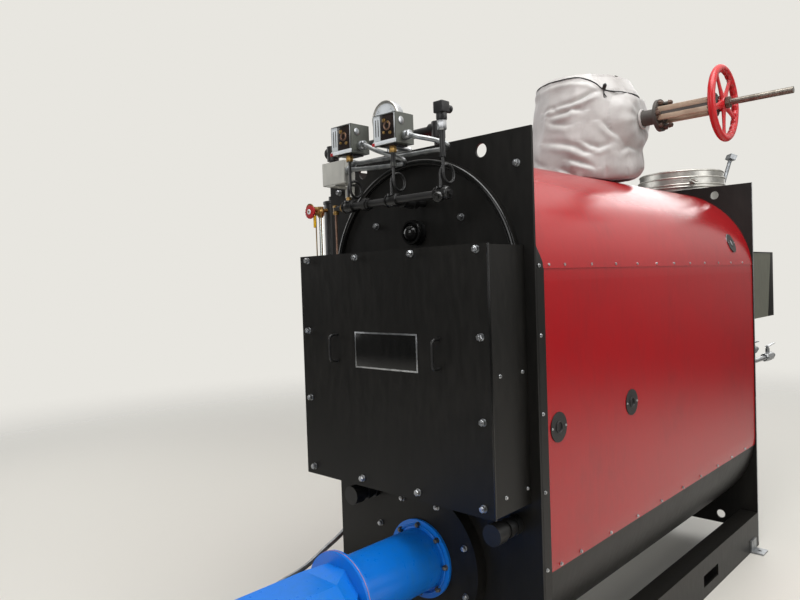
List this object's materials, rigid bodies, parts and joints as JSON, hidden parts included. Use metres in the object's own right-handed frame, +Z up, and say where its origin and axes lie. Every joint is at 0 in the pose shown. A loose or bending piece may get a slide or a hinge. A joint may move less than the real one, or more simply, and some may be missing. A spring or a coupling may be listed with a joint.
{
  "type": "industrial steam boiler",
  "caption": "Skid-mounted fire-tube steam boiler with a red jacket, forced-draught gas burner, gate valve with handwheel, flue box, water column, gas train and control panel.",
  "frame": {"origin": "on the floor, midway between the four anchor bolts of the skid", "axes": "+Y from the burner end to the flue end, along the vessel; +Z up; +X to the side with the valve's handwheel"},
  "size_m": [1.656, 3.7091, 2.5155],
  "materials": {
    "black_paint": "satin near-black enamel",
    "red_enamel": "gloss red enamel",
    "blue_paint": "satin blue paint",
    "grey_enclosure": "light grey textured paint",
    "galvanised_steel": "zinc plated",
    "dark_iron": "black painted iron",
    "brass": "dull machined",
    "yellow_vinyl": "yellow vinyl grip",
    "bronze_paint": "satin grey brown",
    "bright_steel": "plain rolled or turned",
    "red_wheel": "gloss red paint",
    "grey_fabric": "coated grey insulation cloth",
    "black_plastic": "moulded",
    "green_plastic": "moulded",
    "white_plastic": "moulded",
    "clear_glass": "clear"
  },
  "bodies": {
    "boiler": {"vessel_shell": "black_paint", "front_plate": "black_paint", "rear_plate": "black_paint", "left_rail": "black_paint", "right_rail": "black_paint", "foot_clips": "galvanised_steel", "crown_jacket": "red_enamel", "left_jacket": "red_enamel", "right_jacket": "red_enamel", "corner_strips": "black_paint", "port_covers": "dark_iron", "flue_door": "black_paint", "sight_port": "dark_iron", "cover_box": "black_paint", "cover_panel": "black_paint", "cover_handles": "dark_iron", "burner_plate": "black_paint", "blast_tube": "blue_paint", "burner_housing": "blue_paint", "fan_motor": "dark_iron", "inlet_drum": "bronze_paint", "drum_cover": "blue_paint", "air_servo": "dark_iron", "terminal_boxes": "grey_enclosure", "inspection_stubs": "dark_iron", "control_manifold": "dark_iron", "siphon_loops": "dark_iron", "pressure_controls": "grey_enclosure", "pressure_sensor": "brass", "pressure_gauge": "galvanised_steel", "control_conduits": "galvanised_steel", "steam_nozzle": "dark_iron", "steam_valve": "dark_iron", "valve_wrap": "grey_fabric", "smoke_box": "black_paint", "flue_collar": "bright_steel", "flue_probe": "galvanised_steel", "rear_valve": "galvanised_steel", "side_channels": "black_paint", "panel_box": "grey_enclosure", "alarm_horn": "green_plastic", "feed_controller": "white_plastic", "water_column": "dark_iron", "column_piping": "dark_iron", "gauge_glass": "clear_glass", "gauge_valves": "brass", "low_water_cutoff": "dark_iron", "brass_valves": "brass", "gas_piping": "dark_iron", "gas_block": "grey_enclosure", "gas_actuator": "dark_iron", "panel_conduits": "galvanised_steel"},
    "wheel": {"handwheel": "red_wheel"},
    "stem": {"valve_stem": "bright_steel"},
    "door": {"panel_door": "grey_enclosure"},
    "disconnect": {"disconnect_knob": "black_plastic"},
    "blowdown_handle": {"blowdown_lever": "yellow_vinyl"},
    "gas_cock_handle": {"gas_cock_lever": "yellow_vinyl"},
    "hand_valve_handle": {"hand_valve_lever": "yellow_vinyl"}
  },
  "joints": [
    {"name": "wheel_turn", "type": "hinge", "parent": "boiler", "child": "wheel", "pos_m": [0.6, 0.251, 2.262], "axis": [-1, 0, 0], "range_deg": [0, 6840]},
    {"name": "stem_travel", "type": "slide", "parent": "boiler", "child": "stem", "axis": [1, 0, 0], "range_m": [-0.152, 0]},
    {"name": "panel_door_hinge", "type": "hinge", "parent": "boiler", "child": "door", "pos_m": [-0.724, -0.573, 1.5], "axis": [0, 0, 1], "range_deg": [0, 110]},
    {"name": "disconnect_turn", "type": "hinge", "parent": "door", "child": "disconnect", "pos_m": [-0.74, -0.43, 1.35], "axis": [-1, 0, 0], "range_deg": [0, 90]},
    {"name": "blowdown_turn", "type": "hinge", "parent": "boiler", "child": "blowdown_handle", "pos_m": [-0.638, -0.974, 0.891], "axis": [1, 0, 0], "range_deg": [0, 90]},
    {"name": "gas_cock_turn", "type": "hinge", "parent": "boiler", "child": "gas_cock_handle", "pos_m": [-0.58, -0.309, 0.3], "axis": [0, 0, -1], "range_deg": [0, 90]},
    {"name": "hand_valve_turn", "type": "hinge", "parent": "boiler", "child": "hand_valve_handle", "pos_m": [-0.58, -1.254, 0.3], "axis": [0, 0, -1], "range_deg": [0, 90]}
  ],
  "couplings": [
    {"joint": "stem_travel", "follows": "wheel_turn", "m_per_rad": -0.00127}
  ]
}
